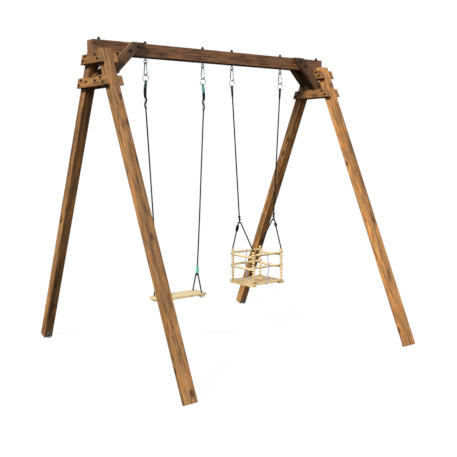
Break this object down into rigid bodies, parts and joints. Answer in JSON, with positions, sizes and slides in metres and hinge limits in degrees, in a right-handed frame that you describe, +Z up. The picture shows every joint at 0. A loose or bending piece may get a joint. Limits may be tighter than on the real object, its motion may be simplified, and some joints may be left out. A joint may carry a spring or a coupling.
{
  "type": "timber swing set",
  "caption": "Freestanding timber A-frame swing set with a wooden plank swing and a baby swing made of rails and beads, hung on ropes and snap hooks.",
  "frame": {"origin": "on the ground, under the middle of the frame", "axes": "+X along the top beam, +Z up, +Y towards the back; the baby swing hangs on the +X side and the plank swing on the -X side"},
  "size_m": [2.3216, 2.2716, 2.427],
  "materials": {
    "stained_timber": "brown stain over planed pine, satin",
    "pale_timber": "clear varnish over pale pine",
    "zinc_steel": "bright zinc plating",
    "black_steel": "black coated, satin",
    "grey_rope": "braided grey-green rope",
    "black_rope": "braided black rope",
    "lilac_cord": "braided lilac cord"
  },
  "bodies": {
    "frame": {"top_beam": "stained_timber", "leg_front_left": "stained_timber", "leg_front_right": "stained_timber", "leg_back_left": "stained_timber", "leg_back_right": "stained_timber", "tie_upper_outer_left": "stained_timber", "tie_upper_inner_left": "stained_timber", "tie_upper_outer_right": "stained_timber", "tie_upper_inner_right": "stained_timber", "tie_lower_outer_left": "stained_timber", "tie_lower_inner_left": "stained_timber", "tie_lower_outer_right": "stained_timber", "tie_lower_inner_right": "stained_timber", "brace_front_left": "stained_timber", "brace_front_right": "stained_timber", "brace_back_left": "stained_timber", "brace_back_right": "stained_timber", "eye_bolt_plain_left": "black_steel", "eye_bolt_plain_right": "black_steel", "eye_bolt_baby_left": "black_steel", "eye_bolt_baby_right": "black_steel"},
    "plain_hang": {"snap_hook_plain_left": "zinc_steel", "snap_hook_plain_right": "zinc_steel", "hook_ring_plain_left": "zinc_steel", "hook_ring_plain_right": "zinc_steel", "rope_plain_left": "grey_rope", "rope_plain_right": "grey_rope"},
    "baby_hang": {"snap_hook_baby_left": "zinc_steel", "snap_hook_baby_right": "zinc_steel", "hook_ring_baby_left": "zinc_steel", "hook_ring_baby_right": "zinc_steel", "rope_baby_left": "black_rope", "rope_baby_right": "black_rope"},
    "plain_seat": {"plank_seat": "pale_timber", "seat_rope_plain_left": "grey_rope", "seat_rope_plain_right": "grey_rope"},
    "baby_seat": {"rail_top_front": "pale_timber", "rail_top_back": "pale_timber", "rail_top_left": "pale_timber", "rail_top_right": "pale_timber", "rail_mid_front": "pale_timber", "rail_mid_back": "pale_timber", "rail_mid_left": "pale_timber", "rail_mid_right": "pale_timber", "bead_column_front_left": "pale_timber", "bead_column_front_right": "pale_timber", "bead_column_back_left": "pale_timber", "bead_column_back_right": "pale_timber", "base_board_front": "pale_timber", "base_board_middle": "pale_timber", "base_board_back": "pale_timber", "base_batten_left": "pale_timber", "base_batten_right": "pale_timber", "seat_rope_baby_left": "black_rope", "seat_rope_baby_right": "black_rope", "crotch_cord": "lilac_cord"},
    "gate_plain_left": {"hook_gate_plain_left": "zinc_steel"},
    "gate_plain_right": {"hook_gate_plain_right": "zinc_steel"},
    "gate_baby_left": {"hook_gate_baby_left": "zinc_steel"},
    "gate_baby_right": {"hook_gate_baby_right": "zinc_steel"}
  },
  "joints": [
    {"name": "plain_swing", "type": "hinge", "parent": "frame", "child": "plain_hang", "pos_m": [-0.436, 0, 2.262], "axis": [1, 0, 0], "range_deg": [-45, 45]},
    {"name": "baby_swing", "type": "hinge", "parent": "frame", "child": "baby_hang", "pos_m": [0.389, 0, 2.262], "axis": [1, 0, 0], "range_deg": [-40, 40]},
    {"name": "plain_seat_tilt", "type": "hinge", "parent": "plain_hang", "child": "plain_seat", "pos_m": [-0.436, 0, 0.586], "axis": [1, 0, 0], "range_deg": [-20, 20]},
    {"name": "baby_seat_tilt", "type": "hinge", "parent": "baby_hang", "child": "baby_seat", "pos_m": [0.389, 0, 0.978], "axis": [1, 0, 0], "range_deg": [-15, 15]},
    {"name": "gate_plain_left_hinge", "type": "hinge", "parent": "plain_hang", "child": "gate_plain_left", "pos_m": [-0.701, -0.01393, 2.2453], "axis": [1, 0, 0], "range_deg": [0, 25], "stiffness_Nm_per_rad": 0.1, "springref_deg": -17.19},
    {"name": "gate_plain_right_hinge", "type": "hinge", "parent": "plain_hang", "child": "gate_plain_right", "pos_m": [-0.171, -0.01393, 2.2453], "axis": [1, 0, 0], "range_deg": [0, 25], "stiffness_Nm_per_rad": 0.1, "springref_deg": -17.19},
    {"name": "gate_baby_left_hinge", "type": "hinge", "parent": "baby_hang", "child": "gate_baby_left", "pos_m": [0.124, -0.01393, 2.2453], "axis": [1, 0, 0], "range_deg": [0, 25], "stiffness_Nm_per_rad": 0.1, "springref_deg": -17.19},
    {"name": "gate_baby_right_hinge", "type": "hinge", "parent": "baby_hang", "child": "gate_baby_right", "pos_m": [0.654, -0.01393, 2.2453], "axis": [1, 0, 0], "range_deg": [0, 25], "stiffness_Nm_per_rad": 0.1, "springref_deg": -17.19}
  ]
}
